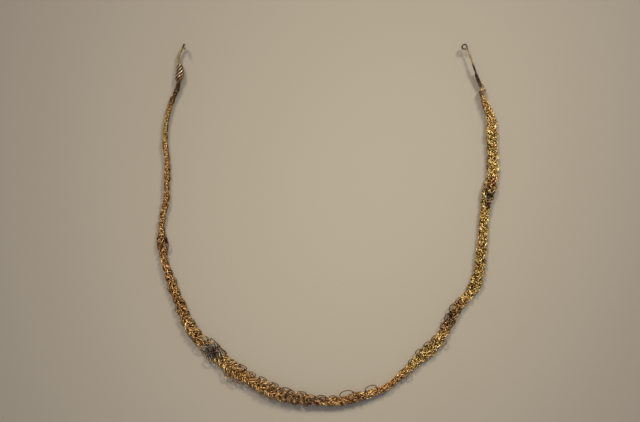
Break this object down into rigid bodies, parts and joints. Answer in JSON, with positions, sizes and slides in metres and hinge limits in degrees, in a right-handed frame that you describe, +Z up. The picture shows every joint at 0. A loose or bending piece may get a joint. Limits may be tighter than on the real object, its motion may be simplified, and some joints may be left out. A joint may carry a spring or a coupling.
{
  "type": "braided wire collar",
  "caption": "Open necklace of fine gilt wires in a loose flat plait, shown lying down, with a lashed hook pin at one end and a linked eye pin at the other.",
  "frame": {"origin": "middle of the collar's outline seen from above, on the surface it lies on", "axes": "+Z up from the surface, +Y from the collar's lowest point at the front of the neck towards its two open ends, +X towards the eye pin's side"},
  "size_m": [0.1716, 0.1819, 0.0047],
  "materials": {
    "braid_wire": "drawn gilt copper wire, worn and tarnished",
    "pin_wire": "thicker gilt copper wire, dull",
    "lashing_wire": "fine copper wire, dark brown tarnish"
  },
  "bodies": {
    "root": {"strand_1_wire_1": "braid_wire", "strand_1_wire_2": "braid_wire", "strand_1_wire_3": "braid_wire", "strand_2_wire_1": "braid_wire", "strand_2_wire_2": "braid_wire", "strand_2_wire_3": "braid_wire", "strand_3_wire_1": "braid_wire", "strand_3_wire_2": "braid_wire", "strand_3_wire_3": "braid_wire", "hook_pin": "pin_wire", "eye_pin": "pin_wire", "end_loop": "pin_wire", "hook_lashing": "lashing_wire", "loop_lashing": "lashing_wire", "eye_pin_binding": "lashing_wire", "link": "lashing_wire"}
  },
  "joints": []
}
